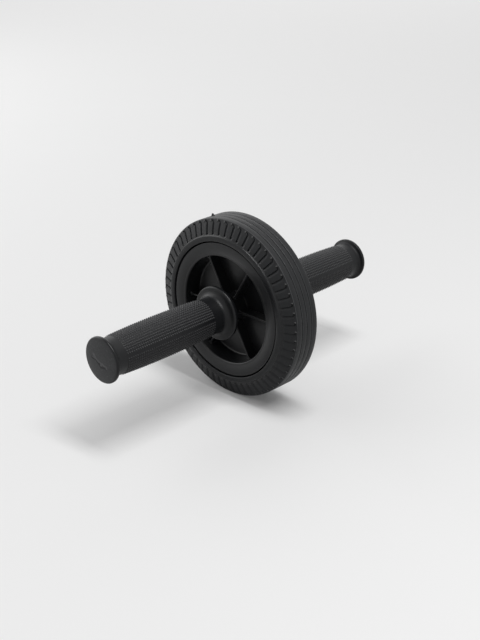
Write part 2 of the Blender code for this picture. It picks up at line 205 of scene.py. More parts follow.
def make_piece(name, points, face_groups):
    """Closed mesh of the points and faces, with its faces outwards, smooth except at true edges.
    Six times its volume is the sum over its triangles of a . (b x c), with corners a, b and c; where
    that is negative every face is turned."""
    six_volumes = 0
    for faces in face_groups:
        a = points[faces[:, 0]]
        for second in range(1, faces.shape[1] - 1):
            b = points[faces[:, second]]
            c = points[faces[:, second + 1]]
            six_volumes += np.einsum("ij,ij->", a, np.cross(b, c))
    faces = []
    for group in face_groups:
        faces += (group if six_volumes > 0 else group[:, ::-1]).tolist()
    mesh = bpy.data.meshes.new(name)
    mesh.from_pydata(points.tolist(), [], faces)
    mesh.validate()
    mesh.shade_smooth()
    mesh.set_sharp_from_angle(angle=EDGE_ANGLE)
    piece = bpy.data.objects.new(name, mesh)
    bpy.context.scene.collection.objects.link(piece)
    return piece


def keep_on_points(piece, name, values):
    """Keep a number at each point of the mesh, which its material reads by that name."""
    piece.data.attributes.new(name, "FLOAT", "POINT").data.foreach_set("value", values.ravel())


def turned_points(along, radius, turn):
    """Point at (along, radius, turn): turn is measured about the axle from straight up towards +X."""
    along, radius, turn = np.broadcast_arrays(along, radius, turn)
    return np.stack([radius * np.sin(turn), along, AXLE_HEIGHT + radius * np.cos(turn)], -1)


class Value:
    """An output of a shader node; arithmetic on it adds Math nodes beside that node."""

    def __init__(self, nodes, socket):
        self.nodes = nodes
        self.socket = socket

    def maths(self, operation, first, second=0.0):
        return self.nodes.node("ShaderNodeMath", {"operation": operation}, {0: first, 1: second})["Value"]

    def __add__(self, other):
        return self.maths("ADD", self, other)

    def __radd__(self, other):
        return self.maths("ADD", other, self)

    def __sub__(self, other):
        return self.maths("SUBTRACT", self, other)

    def __rsub__(self, other):
        return self.maths("SUBTRACT", other, self)

    def __mul__(self, other):
        return self.maths("MULTIPLY", self, other)

    def __rmul__(self, other):
        return self.maths("MULTIPLY", other, self)

    def __truediv__(self, other):
        return self.maths("DIVIDE", self, other)

    def __lt__(self, other):
        return self.maths("LESS_THAN", self, other)

    def absolute(self):
        return self.maths("ABSOLUTE", self)

    def larger(self, other):
        return self.maths("MAXIMUM", self, other)

    def between(self, low, high):
        """Zero at low, one at high, smooth between."""
        settings = {"interpolation_type": "SMOOTHSTEP"}
        return self.nodes.node("ShaderNodeMapRange", settings, {0: self, 1: low, 2: high})["Result"]


class Nodes:
    """The nodes of a material or of the surround."""

    def __init__(self, tree):
        self.tree = tree

    def feed(self, socket, given):
        """Link a value to a socket, or write a plain number or colour on it."""
        if isinstance(given, Value):
            self.tree.links.new(given.socket, socket)
        else:
            socket.default_value = given

    def node(self, kind, settings, sockets):
        """Add a node: its settings first, then what its sockets are given. Returns its outputs by name."""
        node = self.tree.nodes.new(kind)
        for name, setting in settings.items():
            setattr(node, name, setting)
        for name, given in sockets.items():
            self.feed(node.inputs[name], given)
        return {output.name: Value(self, output) for output in node.outputs if output.enabled}

    def blend(self, share, first, second):
        """Colour between two colours."""
        return self.node("ShaderNodeMix", {"data_type": "RGBA"}, {0: share, 6: first, 7: second})["Result"]


class Finish(Nodes):
    """The material of one kind of surface."""

    def __init__(self, name, gloss, metallic=0.0):
        self.material = bpy.data.materials.new(name)
        self.material.use_nodes = True
        super().__init__(self.material.node_tree)
        self.shader = self.tree.nodes["Principled BSDF"]
        self.shader.inputs["Specular IOR Level"].default_value = gloss
        self.shader.inputs["Metallic"].default_value = metallic
        self.place = self.node("ShaderNodeTexCoord", {}, {})["Object"]

    def noise(self, scale, detail=2.0, roughness=0.5):
        """Noise between 0 and 1; scale is in cycles per metre."""
        sockets = {"Vector": self.place, "Scale": scale, "Detail": detail, "Roughness": roughness}
        return self.node("ShaderNodeTexNoise", {}, sockets)["Fac"]

    def specks(self, spacing, size, share):
        """Above zero where a small round speck lies, in a share of the cells of that spacing."""
        sockets = {"Vector": self.place, "Scale": 1 / spacing}
        cell = self.node("ShaderNodeTexVoronoi", {}, sockets)
        colour = self.node("ShaderNodeSeparateColor", {}, {"Color": cell["Color"]})
        spot = 1 - cell["Distance"].between(size / spacing * 0.5, size / spacing)
        return spot * (colour["Red"] < share) * colour["Green"]

    def axis(self, name):
        """One coordinate of the place, in metres."""
        return self.node("ShaderNodeSeparateXYZ", {}, {"Vector": self.place})[name]

    def attribute(self, name):
        """A number that the mesh keeps at its points."""
        return self.node("ShaderNodeAttribute", {"attribute_name": name}, {})["Fac"]

    def surface(self, colour, roughness):
        """Give the shader its colour and its roughness."""
        self.feed(self.shader.inputs["Base Color"], colour)
        self.feed(self.shader.inputs["Roughness"], roughness)

    def relief(self, height, depth):
        """Fine relief of the surface: depth is how far it stands out, in metres, for each unit of height."""
        sockets = {"Height": height, "Distance": depth, "Strength": 1.0}
        self.feed(self.shader.inputs["Normal"], self.node("ShaderNodeBump", {}, sockets)["Normal"])


def opaque(red, green, blue):
    """Colour of a socket."""
    return (red, green, blue, 1.0)


tread_floor_radius = TYRE_RADIUS - TREAD_GROOVE_DEPTH
tread_half = rounded([
    (0, tread_floor_radius, 0),
    (TREAD_GROOVE_FLOOR, tread_floor_radius, 0),
    (TREAD_GROOVE_TOP, TYRE_RADIUS, TREAD_EDGE_ROUND),
    (TREAD_GROOVE_PITCH - TREAD_GROOVE_TOP, TYRE_RADIUS, TREAD_EDGE_ROUND),
    (TREAD_GROOVE_PITCH - TREAD_GROOVE_FLOOR, tread_floor_radius, 0),
    (TREAD_GROOVE_PITCH + TREAD_GROOVE_FLOOR, tread_floor_radius, 0),
    (TREAD_GROOVE_PITCH + TREAD_GROOVE_TOP, TYRE_RADIUS, TREAD_EDGE_ROUND),
    (TREAD_EDGE, TYRE_RADIUS, 0),
], steps=2)[1:-1]
shoulder = rounded([
    (0, TYRE_RADIUS, 0),
    (TREAD_EDGE, TYRE_RADIUS, SHOULDER_ROUND),
    (SIDEWALL_FOOT_OFFSET, SIDEWALL_FOOT_RADIUS, 0),
], steps=2)[1:-1]
hook_rows = np.arange(HOOK_ROWS_START, HOOK_ROWS_END, -HOOK_ROWS_STEP)
sidewall_radii = np.concatenate([(SHOULDER_ROW,), hook_rows, SLIT_ROWS])
down = (TYRE_RADIUS - sidewall_radii) / (TYRE_RADIUS - SIDEWALL_FOOT_RADIUS)
swell = SIDEWALL_SWELL * 4 * down * (1 - down)
sidewall_offsets = TREAD_EDGE + down * (SIDEWALL_FOOT_OFFSET - TREAD_EDGE) + swell
sidewall = np.stack([sidewall_offsets, sidewall_radii], -1)
bead = rounded([
    (SIDEWALL_END_OFFSET, SIDEWALL_END_RADIUS, 0),
    (SIDEWALL_FOOT_OFFSET, SIDEWALL_FOOT_RADIUS, SIDEWALL_FOOT_ROUND),
    (BEAD_OUTER_OFFSET, BEAD_OUTER_RADIUS, BEAD_ROUND),
    (BEAD_CREST_OFFSET, BEAD_CREST_RADIUS, 0),
    (BEAD_INNER_OFFSET, BEAD_INNER_RADIUS, BEAD_ROUND),
    (GAP_TOP_OFFSET, GAP_TOP_RADIUS, GAP_ROUND),
    (GAP_FLOOR_OFFSET, SEAT_RADIUS, 0),
    (SEAT_RIDGE_EDGE, SEAT_RADIUS, 0),
    (SEAT_RIDGE_EDGE, SEAT_RIDGE_RADIUS, 0),
], steps=2)[1:]
half_profile = np.concatenate([tread_half, shoulder, sidewall, bead])
on_sidewall = np.zeros(len(half_profile), bool)
on_sidewall[len(tread_half) + len(shoulder):-len(bead)] = True
tyre_profile = np.concatenate([half_profile, half_profile[::-1] * (-1, 1)])
on_sidewall = np.concatenate([on_sidewall, on_sidewall[::-1]])


def tyre_surface(profile, cut):
    """Points of the tyre, how high each stands on a nub from 0 to 1, and how dull it is in a slit: the
    cube of its depth as a share of the full depth, and zero where the slit starts. The section is
    turned about the axle, with the slits pressed into the rows that are cut.
    A slit's line runs straight out to the bend and then along a quarter circle, so that it hooks the
    same way seen from either side. The depth at a point depends on its distance from that line: a steep
    wall on the hook's side, and a long slope that rises to the surface on the other side and narrows
    along the hook. A small long nub, a Gaussian, stands just past the hook's end."""
    along, radius = profile[:, :1], profile[:, 1:]
    side = np.sign(along)
    far_share = np.clip(along / TREAD_EDGE, -1, 1) / 2 + 0.5
    near_columns = np.tile(SLIT_COLUMNS, SLIT_COUNT)[None, :]
    far_columns = np.tile(-SLIT_COLUMNS[::-1], SLIT_COUNT)[None, :]
    aside = near_columns + (far_columns - near_columns) * far_share
    pitch = 2 * pi / SLIT_COUNT
    turn = pitch * (np.repeat(np.arange(SLIT_COUNT), len(SLIT_COLUMNS))[None, :] + aside)
    across = side * aside * pitch * radius
    past_bend = radius - SLIT_BEND
    on_hook = np.clip(np.arctan2(past_bend, SLIT_HOOK - across) / (pi / 2), 0, 1)
    from_arc = SLIT_HOOK - np.hypot(across - SLIT_HOOK, past_bend)
    from_end = np.hypot(across - SLIT_HOOK, past_bend - SLIT_HOOK)
    from_line = np.where(past_bend < 0, across, np.where(across < SLIT_HOOK, from_arc, from_end))
    slope = SLIT_SLOPE + (SLIT_SLOPE_END - SLIT_SLOPE) * on_hook
    down_wall = np.where(
        from_line > SLIT_WALL_FOOT,
        (SLIT_WALL_TOP - from_line) / (SLIT_WALL_TOP - SLIT_WALL_FOOT),
        1 - (SLIT_WALL_FOOT - from_line) / slope,
    )
    start_share = np.clip((radius - SLIT_START) / SLIT_START_RAMP, 0, 1)
    down_wall = np.clip(down_wall, 0, 1) * start_share * cut[:, None]
    past_nub = np.hypot((across - NUB_ASIDE) / NUB_WIDTH, (radius - NUB_RADIUS) / NUB_LENGTH)
    nub = cut[:, None] * np.exp(-past_nub ** 2)
    out = NUB_HEIGHT * nub - SLIT_DEPTH * down_wall
    lie = atan2(SIDEWALL_FOOT_OFFSET - TREAD_EDGE, TYRE_RADIUS - SIDEWALL_FOOT_RADIUS)
    points = turned_points(along + side * out * cos(lie), radius + out * sin(lie), turn)
    return points, nub, down_wall ** 3 * (radius > SLIT_DULL_START)


tyre_points, nub_share, slit_share = tyre_surface(tyre_profile, on_sidewall)
tyre_rows, tyre_columns = tyre_points.shape[:2]
tyre = make_piece("tyre_rubber", tyre_points.reshape(-1, 3), [grid_faces(tyre_rows, tyre_columns, True)])
tyre_radii = tyre_profile[:, 1]
on_polish_band = np.abs(tyre_radii - POLISH_BAND_RADIUS) < POLISH_BAND_HALF
bead_polish = 0.5 * (tyre_radii < POLISH_RADIUS) + 0.5 * on_polish_band
keep_on_points(tyre, "nub", nub_share)
keep_on_points(tyre, "slit", slit_share)
keep_on_points(tyre, "bead", np.repeat(bead_polish, tyre_columns))

# The small peg that the mould's vent leaves on the tread
NIB_TURN = -0.335
NIB_OFFSET = -0.0029
NIB_STEPS = 16
NIB_HEIGHTS = np.array((-0.0008, 0.0000, 0.0006, 0.0012, 0.0017, 0.0021))
NIB_RADII = np.array((0.0017, 0.0016, 0.0013, 0.0010, 0.0007, 0.0003))
NIB_ROOT = -0.0008
NIB_TIP = 0.0022

nib_turn = np.arange(NIB_STEPS) * 2 * pi / NIB_STEPS
nib_side = np.outer(NIB_RADII, np.cos(nib_turn)) / TYRE_RADIUS
nib_along = np.outer(NIB_RADII, np.sin(nib_turn)) + NIB_OFFSET
nib_points = turned_points(nib_along, TYRE_RADIUS + NIB_HEIGHTS[:, None], NIB_TURN + nib_side).reshape(-1, 3)
nib_poles = turned_points(NIB_OFFSET, TYRE_RADIUS + np.array((NIB_ROOT, NIB_TIP)), NIB_TURN)
nib_faces = shell_faces(len(NIB_HEIGHTS), NIB_STEPS)
nib = make_piece("tread_nib", np.concatenate([nib_points, nib_poles]), nib_faces)

# The edges of the tread's ribs are scuffed paler than the rest, and the tips of the nubs carry a painted
# highlight
RUBBER_DARK = opaque(0.0055, 0.0060, 0.0068)
RUBBER_PALE = opaque(0.0105, 0.0112, 0.0125)
RUBBER_SCUFFED = opaque(0.085, 0.087, 0.090)
NUB_TIP_HIGHLIGHT = opaque(0.12, 0.12, 0.12)
RUBBER_DUST = opaque(0.30, 0.30, 0.30)
RIB_EDGES = (
    TREAD_GROOVE_TOP,
    TREAD_GROOVE_PITCH - TREAD_GROOVE_TOP,
    TREAD_GROOVE_PITCH + TREAD_GROOVE_TOP,
    TREAD_EDGE,
)
SCUFF_CORE = 0.00004
SCUFF_FADE = 0.00022

rubber = Finish("tyre_rubber", gloss=0.25)
mottle = rubber.noise(90, detail=4.0, roughness=0.6)
grain = rubber.noise(3200, detail=3.0, roughness=0.6)
dust = rubber.specks(spacing=0.0080, size=0.00042, share=0.22)
bloom = rubber.noise(35)
rubber_colour = rubber.blend(mottle, RUBBER_DARK, RUBBER_PALE)
off_middle = rubber.axis("Y").absolute()
scuffed = 0.0
for edge in RIB_EDGES:
    scuffed = scuffed + (1 - (off_middle - edge).absolute().between(SCUFF_CORE, SCUFF_FADE))
rubber_colour = rubber.blend(scuffed * (0.4 + 0.6 * mottle), rubber_colour, RUBBER_SCUFFED)
# Painted highlight on the tips of the nubs
rubber_colour = rubber.blend(rubber.attribute("nub").between(0.25, 0.8), rubber_colour, NUB_TIP_HIGHLIGHT)
rubber_colour = rubber.blend(dust, rubber_colour, RUBBER_DUST)
rubber_roughness = 0.38 + 0.12 * bloom + 0.07 * grain - 0.30 * rubber.attribute("bead")
rubber_roughness = rubber_roughness - 0.16 * scuffed + 0.30 * rubber.attribute("slit")
rubber.surface(rubber_colour, rubber_roughness)
rubber.relief(grain + 2.0 * mottle, depth=0.00006)
for piece in (tyre, nib):
    piece.data.materials.append(rubber.material)
    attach(piece, "wheel")
    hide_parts("tyre")


# Wheel moulding
# The wheel's body is one moulding of black plastic: a hub, a thin closed web in the middle plane,
# six ribs on each side of it, a slightly coned barrel, and a flat rim face with a rounded lip.
WHEEL_COLUMNS = 240
WHEEL_ROUND_STEPS = 5
HUB_BORE = 0.0083
HUB_BORE_ROUND = 0.0003
HUB_END = 0.0155
HUB_END_RADIUS = 0.0115
HUB_END_ROUND = 0.0006
HUB_FOOT_RADIUS = 0.0122
HUB_FOOT_ROUND = 0.0005
WEB_FACE = 0.0015
OPENING_RADIUS = 0.0452
OPENING_ROUND = 0.0014
BARREL_FOOT_RADIUS = 0.0428
BARREL_FOOT_ROUND = 0.0016
RIM_INNER = 0.0160
RIM_OUTER = 0.0163
RIM_STEP_START = OPENING_RADIUS + 0.0022
RIM_STEP_END = OPENING_RADIUS + 0.0026
RIM_EDGE_RADIUS = 0.0560
RIM_EDGE_ROUND = 0.0005
RIDGE_HALF_WIDTH = 0.0045
RIDGE_RADIUS = 0.0605
RIDGE_ROUND = 0.0002

# Ribs, with the rows at their ends given in shares of the fillet
RIB_COUNT = 6
RIB_FOOT = 0.0008
RIB_TOP = 0.0105
RIB_TOP_ROUND = 0.0008
RIB_HALF_TOP = 0.00085
RIB_HALF_FOOT = 0.0013
RIB_HUB_END = 0.0121
RIB_BARREL_END = 0.0436
RIB_FILLET = 0.0016
RIB_FILLET_WIDTH = 0.6
RIB_END_ROWS = np.array((-0.6, 0, 0.1, 0.25, 0.5, 0.75, 1.0))
RIB_MIDDLE_ROWS = (0.0200, 0.0280, 0.0360)

wheel_half = rounded([
    (0, HUB_BORE, 0),
    (HUB_END, HUB_BORE, HUB_BORE_ROUND),
    (HUB_END, HUB_END_RADIUS, HUB_END_ROUND),
    (WEB_FACE, HUB_FOOT_RADIUS, HUB_FOOT_ROUND),
    (WEB_FACE, BARREL_FOOT_RADIUS, BARREL_FOOT_ROUND),
    (RIM_INNER, OPENING_RADIUS, OPENING_ROUND),
    (RIM_INNER, RIM_STEP_START, 0),
    (RIM_OUTER, RIM_STEP_END, 0),
    (RIM_OUTER, RIM_EDGE_RADIUS, RIM_EDGE_ROUND),
    (RIDGE_HALF_WIDTH, RIM_EDGE_RADIUS, RIDGE_ROUND),
    (RIDGE_HALF_WIDTH, RIDGE_RADIUS, RIDGE_ROUND),
    (0, RIDGE_RADIUS, 0),
], steps=WHEEL_ROUND_STEPS)[1:-1]
wheel_profile = np.concatenate([wheel_half, wheel_half[::-1] * (-1, 1)])
wheel_turns = np.arange(WHEEL_COLUMNS) * 2 * pi / WHEEL_COLUMNS
disc_points = turned_points(wheel_profile[:, :1], wheel_profile[:, 1:], wheel_turns[None, :]).reshape(-1, 3)
disc = make_piece("wheel_disc", disc_points, [grid_faces(len(wheel_profile), WHEEL_COLUMNS, True)])


def rib_surface(side, turn):
    """Points of one rib: a round-topped section carried straight out from the hub to the barrel. At
    both ends it widens by a share of a quarter round, f - sqrt(f^2 - (f - d)^2) at a distance d from
    the end, where f is the fillet."""
    inner = RIB_HUB_END + RIB_FILLET * RIB_END_ROWS
    outer = RIB_BARREL_END - RIB_FILLET * RIB_END_ROWS[::-1]
    reach = np.concatenate([inner, RIB_MIDDLE_ROWS, outer])
    room = np.clip(np.minimum(reach - RIB_HUB_END, RIB_BARREL_END - reach), 0, RIB_FILLET)
    widen = (RIB_FILLET - np.sqrt(RIB_FILLET ** 2 - (RIB_FILLET - room) ** 2)) * RIB_FILLET_WIDTH
    section = rounded([
        (RIB_FOOT, -RIB_HALF_FOOT, 0),
        (RIB_TOP, -RIB_HALF_TOP, RIB_TOP_ROUND),
        (RIB_TOP, RIB_HALF_TOP, RIB_TOP_ROUND),
        (RIB_FOOT, RIB_HALF_FOOT, 0),
    ], steps=WHEEL_ROUND_STEPS)
    across = section[None, :, 1] + np.sign(section[None, :, 1]) * widen[:, None]
    radius = np.broadcast_to(reach[:, None], across.shape)
    along = side * np.broadcast_to(section[None, :, 0], across.shape)
    x = radius * sin(turn) + across * cos(turn)
    z = radius * cos(turn) - across * sin(turn)
    return np.stack([x, along, z + AXLE_HEIGHT], -1)


def rib_faces(rows, columns, first):
    """Faces of one rib, whose points start at first: its long sides, and a fan from one corner over
    each end."""
    start = np.arange(columns) + first
    finish = start + (rows - 1) * columns
    start_fan = np.stack([np.full(columns - 2, start[0]), start[2:], start[1:-1]], -1)
    finish_fan = np.stack([np.full(columns - 2, finish[0]), finish[1:-1], finish[2:]], -1)
    return [grid_faces(rows, columns, False, first), start_fan, finish_fan]


rib_points = []
rib_groups = []
point_count = 0
for side in (-1, 1):
    for number in range(RIB_COUNT):
        points = rib_surface(side, pi / 2 + number * 2 * pi / RIB_COUNT)
        for group in rib_faces(*points.shape[:2], point_count):
            rib_groups.append(group[:, ::-1] if side > 0 else group)
        rib_points.append(points.reshape(-1, 3))
        point_count += len(rib_points[-1])
ribs = make_piece("wheel_ribs", np.concatenate(rib_points), rib_groups)

# The faces of the rim are painted a little paler than the recesses: painted light on the rim, which leaves
# the recesses looking shaded
PLASTIC_DARK = opaque(0.0055, 0.0058, 0.0065)
PLASTIC_PALE = opaque(0.0095, 0.0100, 0.0110)
PLASTIC_RIM_LIGHT = opaque(0.020, 0.0205, 0.0215)
PLASTIC_DUST = opaque(0.20, 0.20, 0.20)
RIM_LIGHT_START = 0.0140
RIM_LIGHT_END = 0.0160

plastic = Finish("wheel_plastic", gloss=0.25)
flow = plastic.noise(26, detail=3.0)
pebble = plastic.noise(2600)
plastic_dust = plastic.specks(spacing=0.0100, size=0.00040, share=0.12)
haze = plastic.noise(240, detail=4.0, roughness=0.65)
# Painted light on the rim faces, set against the shade of the recesses
rim_painted_light = plastic.axis("Y").absolute().between(RIM_LIGHT_START, RIM_LIGHT_END) * (0.6 + 0.4 * haze)
plastic_colour = plastic.blend(flow, PLASTIC_DARK, PLASTIC_PALE)
plastic_colour = plastic.blend(rim_painted_light, plastic_colour, PLASTIC_RIM_LIGHT)
plastic_colour = plastic.blend(plastic_dust, plastic_colour, PLASTIC_DUST)
plastic.surface(plastic_colour, 0.25 + 0.08 * haze + 0.05 * flow)
plastic.relief(pebble + 1.5 * haze, depth=0.000012)
for piece in (disc, ribs):
    piece.data.materials.append(plastic.material)
    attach(piece, "wheel")
    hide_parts("wheel_moulding")


# Hub bushes
# Two flanged bushes moulded in pale acetal and pushed into the ends of the hub. The wheel turns on
# them, and their flanges run against the thrust washers.
ACETAL_DARK = opaque(0.55, 0.53, 0.47)
ACETAL_PALE = opaque(0.66, 0.64, 0.58)

acetal = Finish("bush_acetal", gloss=0.5)
acetal_cloud = acetal.noise(300, detail=3.0)
acetal_rub = acetal.noise(1800)
acetal.surface(acetal.blend(acetal_cloud, ACETAL_DARK, ACETAL_PALE), 0.42 + 0.16 * acetal_rub)
acetal.relief(acetal_rub, depth=0.00002)
for name in ("hub_bush_right", "hub_bush_left"):
    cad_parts[name].material_slots[0].material = acetal.material


# Rod, washers and push nuts
# A drawn steel rod carries the wheel and both grips. A zinc-plated thrust washer lies on each side
# of the hub, and a pressed spring-steel nut bites each end of the rod inside its grip.
STEEL_DARK = opaque(0.50, 0.51, 0.52)
STEEL_PALE = opaque(0.62, 0.63, 0.64)
ZINC_DARK = opaque(0.52, 0.53, 0.53)
ZINC_PALE = opaque(0.68, 0.68, 0.65)
SPRING_DARK = opaque(0.22, 0.22, 0.24)
SPRING_PALE = opaque(0.36, 0.35, 0.34)
METAL_RELIEF = 0.00001

# The drawing lines run along the rod, so the pattern is stretched that way
DRAWN_STRETCH = (1, 0.03, 1)

steel = Finish("drawn_steel", gloss=0.5, metallic=1.0)
drawn_place = steel.node("ShaderNodeMapping", {}, {"Vector": steel.place, "Scale": DRAWN_STRETCH})["Vector"]
drawn = steel.node("ShaderNodeTexNoise", {}, {"Vector": drawn_place, "Scale": 2600, "Detail": 3.0})["Fac"]
steel.surface(steel.blend(drawn, STEEL_DARK, STEEL_PALE), 0.20 + 0.16 * drawn)
steel.relief(drawn, depth=METAL_RELIEF)
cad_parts["axle_rod"].material_slots[0].material = steel.material

zinc = Finish("washer_zinc", gloss=0.5, metallic=1.0)
spangle = zinc.noise(900, detail=3.0)
zinc.surface(zinc.blend(spangle, ZINC_DARK, ZINC_PALE), 0.28 + 0.20 * spangle)
zinc.relief(spangle, depth=METAL_RELIEF)

spring = Finish("spring_steel", gloss=0.5, metallic=1.0)
scale_bloom = spring.noise(700, detail=4.0)
spring.surface(spring.blend(scale_bloom, SPRING_DARK, SPRING_PALE), 0.34 + 0.18 * scale_bloom)
spring.relief(scale_bloom, depth=METAL_RELIEF)
for side_name in ("right", "left"):
    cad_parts["thrust_washer_" + side_name].material_slots[0].material = zinc.material
    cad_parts["push_nut_" + side_name].material_slots[0].material = spring.material


# Grip cores
# A sleeve on the rod inside each grip, moulded in dark grey plastic, with a narrow nose that bears
# on the thrust washer.
CORE_DARK = opaque(0.020, 0.020, 0.022)
CORE_PALE = opaque(0.034, 0.034, 0.037)

core = Finish("core_plastic", gloss=0.4)
core_flow = core.noise(160, detail=3.0)
core_grain = core.noise(2400)
core.surface(core.blend(core_flow, CORE_DARK, CORE_PALE), 0.46 + 0.16 * core_grain)
core.relief(core_grain, depth=0.00003)
for side_name in ("right", "left"):
    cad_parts["grip_core_" + side_name].material_slots[0].material = core.material


# Grips
# Each grip is a sleeve moulded in soft black rubber and pushed over its core. It has a thick round
# guard next to the wheel, a smooth neck, a barrel covered in small raised dots with a smooth strip
# along both parting lines, and a mushroom end.
NECK_RADIUS = 0.0150
GRIP_BORE = 0.0123
GRIP_BORE_ROUND = 0.0004
GRIP_FLOOR = 0.1405
GRIP_FLOOR_MIDDLE = 0.0040
BORE_MOUTH = 0.0208
INSIDE_STEPS = 5
OUTSIDE_STEPS = 6

# Guard, from its face by the wheel to where its back runs into the neck
GUARD_FACE = 0.0206
GUARD_FACE_RADIUS = 0.0180
GUARD_FACE_ROUND = 0.0010
GUARD_EDGE = 0.0226
GUARD_EDGE_RADIUS = 0.0225
GUARD_EDGE_ROUND = 0.0016
GUARD_BACK = 0.0260
GUARD_BACK_RADIUS = 0.0226
GUARD_BACK_ROUND = 0.0017
GUARD_ROOT = 0.0269
GUARD_ROOT_ROUND = 0.0048
NECK_END = 0.0400

# Barrel with its dots, and the smooth strips, which lie at this turn from the level
DOT_ROWS = 45
DOT_COLUMNS = 48
DOT_STEPS_ROUND = 6
DOT_STEPS_ALONG = 6
DOT_HEIGHT = 0.00100
KNURL_START = 0.0402
KNURL_END = 0.1302
BARREL_SWELL = 0.0011
STRIP_TURN = radians(15)
STRIP_HALF = radians(3.75)

# Flared end
OUTER_NECK_START = 0.1304
OUTER_NECK_FIRST_ROW = 0.1312
FLARE_ROOT = 0.1393
FLARE_ROOT_ROUND = 0.0021
FLARE_BACK = 0.1405
FLARE_BACK_RADIUS = 0.0182
FLARE_BACK_ROUND = 0.0009
FLARE_EDGE = 0.1433
FLARE_EDGE_RADIUS = 0.0183
FLARE_EDGE_ROUND = 0.0015
END_CROWN = 0.1447
END_FALL = 0.0012
END_RADIUS = 0.0165
END_ROWS = np.array((0.0159, 0.0152, 0.0143, 0.0130, 0.0115, 0.0100, 0.0080, 0.0060, 0.0035, 0.0012))

inside = rounded([
    (GRIP_FLOOR, GRIP_FLOOR_MIDDLE, 0),
    (GRIP_FLOOR, GRIP_BORE, GRIP_BORE_ROUND),
    (BORE_MOUTH, GRIP_BORE, GRIP_BORE_ROUND),
    (GUARD_FACE, GUARD_FACE_RADIUS, GUARD_FACE_ROUND),
    (GUARD_EDGE, GUARD_EDGE_RADIUS, GUARD_EDGE_ROUND),
    (GUARD_BACK, GUARD_BACK_RADIUS, GUARD_BACK_ROUND),
    (GUARD_ROOT, NECK_RADIUS, GUARD_ROOT_ROUND),
    (NECK_END, NECK_RADIUS, 0),
], steps=INSIDE_STEPS)
knurl_along = np.linspace(KNURL_START, KNURL_END, DOT_ROWS * DOT_STEPS_ALONG + 1)
knurl_share = (knurl_along - KNURL_START) / (KNURL_END - KNURL_START)
knurl_radius = NECK_RADIUS + BARREL_SWELL * 4 * knurl_share * (1 - knurl_share)
knurl = np.stack([knurl_along, knurl_radius], -1)
outside = rounded([
    (OUTER_NECK_START, NECK_RADIUS, 0),
    (OUTER_NECK_FIRST_ROW, NECK_RADIUS, 0),
    (FLARE_ROOT, NECK_RADIUS, FLARE_ROOT_ROUND),
    (FLARE_BACK, FLARE_BACK_RADIUS, FLARE_BACK_ROUND),
    (FLARE_EDGE, FLARE_EDGE_RADIUS, FLARE_EDGE_ROUND),
    (END_CROWN - END_FALL, END_RADIUS, 0),
], steps=OUTSIDE_STEPS)
end_dome = np.stack([END_CROWN - END_FALL * (END_ROWS / END_RADIUS) ** 3, END_ROWS], -1)
grip_profile = np.concatenate([inside, knurl, outside, end_dome])
on_knurl = np.zeros(len(grip_profile), bool)
on_knurl[len(inside):len(inside) + len(knurl)] = True


def grip_surface(side):
    """Points of one grip and how pale each is painted, from 0 to 1. The section is turned about the
    axle. On the barrel the radius grows by the dot height times sin^4 along the barrel times cos^4
    round it, which makes a dot in each cell. The row on both parting lines is left out. The dots are
    painted paler, partly for wear on their tips and partly as a painted highlight, and those above the
    parting lines more than those below, as painted light from above, which the second result says."""
    columns = DOT_COLUMNS * DOT_STEPS_ROUND
    turn = np.arange(columns)[None, :] * 2 * pi / columns
    along = grip_profile[:, :1]
    rows = (along - KNURL_START) / (KNURL_END - KNURL_START) * DOT_ROWS
    dots = np.sin(pi * rows) ** 4 * np.cos(turn * DOT_COLUMNS / 2) ** 4
    angle = pi / 2 - turn
    from_strip = np.abs((angle - STRIP_TURN + pi / 2) % pi - pi / 2)
    dots = np.where(on_knurl[:, None] & (from_strip > STRIP_HALF), dots, 0)
    points = turned_points(side * along, grip_profile[:, 1:] + DOT_HEIGHT * dots, turn).reshape(-1, 3)
    poles = turned_points(side * np.array((GRIP_FLOOR, END_CROWN)), 0, 0)
    # Paler above the parting lines: painted light from above, on top of the wear and painted highlight on the
    # dots' tips
    dot_wear_and_light = dots * (0.35 + 0.65 * (np.sin(angle - STRIP_TURN) > 0))
    return np.concatenate([points, poles]), np.concatenate([dot_wear_and_light.ravel(), (0, 0)])


# The outer necks and the crowned ends are worn paler, and a shallow scuff runs across the right end, with a
# painted highlight along its upper side and painted shade in its floor
GRIP_DARK = opaque(0.0038, 0.0041, 0.0048)
GRIP_PALE = opaque(0.0068, 0.0072, 0.0082)
DOT_WORN_AND_HIGHLIT = opaque(0.095, 0.096, 0.100)
NECK_WORN = opaque(0.009, 0.0095, 0.0105)
END_WORN = opaque(0.045, 0.046, 0.048)
END_SCRATCHED = opaque(0.070, 0.071, 0.073)
SCUFF_EDGE_HIGHLIGHT = opaque(0.100, 0.101, 0.104)
SCUFF_FLOOR_SHADE = opaque(0.010, 0.010, 0.011)
GRIP_DUST = opaque(0.28, 0.28, 0.28)

# Where the worn or polished parts fade in and out, measured along the axle
END_START = (0.1428, 0.1438)
OUTER_NECK_IN = (0.1298, 0.1312)
OUTER_NECK_OUT = (0.1390, 0.1402)
GUARD_LIP_IN = (0.0230, 0.0240)
GUARD_LIP_OUT = (0.0252, 0.0260)
END_LIP_IN = (0.1400, 0.1410)

# The scuff's line across the end, as the two parts of its unit normal and its distance from the axle
SCUFF_SIDE = 0.449
SCUFF_UP = 0.893
SCUFF_OFFSET = 0.0024
SCUFF_WAVER = 0.0090
SCUFF_LENGTH_FADE = (0.0074, 0.0098)
SCUFF_HALF_WIDTH = 0.0002
SCUFF_FADE_WIDTH = 0.0006
SCUFF_SCRATCH_WIDTH = 0.0014
RIDGE_OFFSET = 0.0019
RIDGE_FADE = (0.0005, 0.0016)

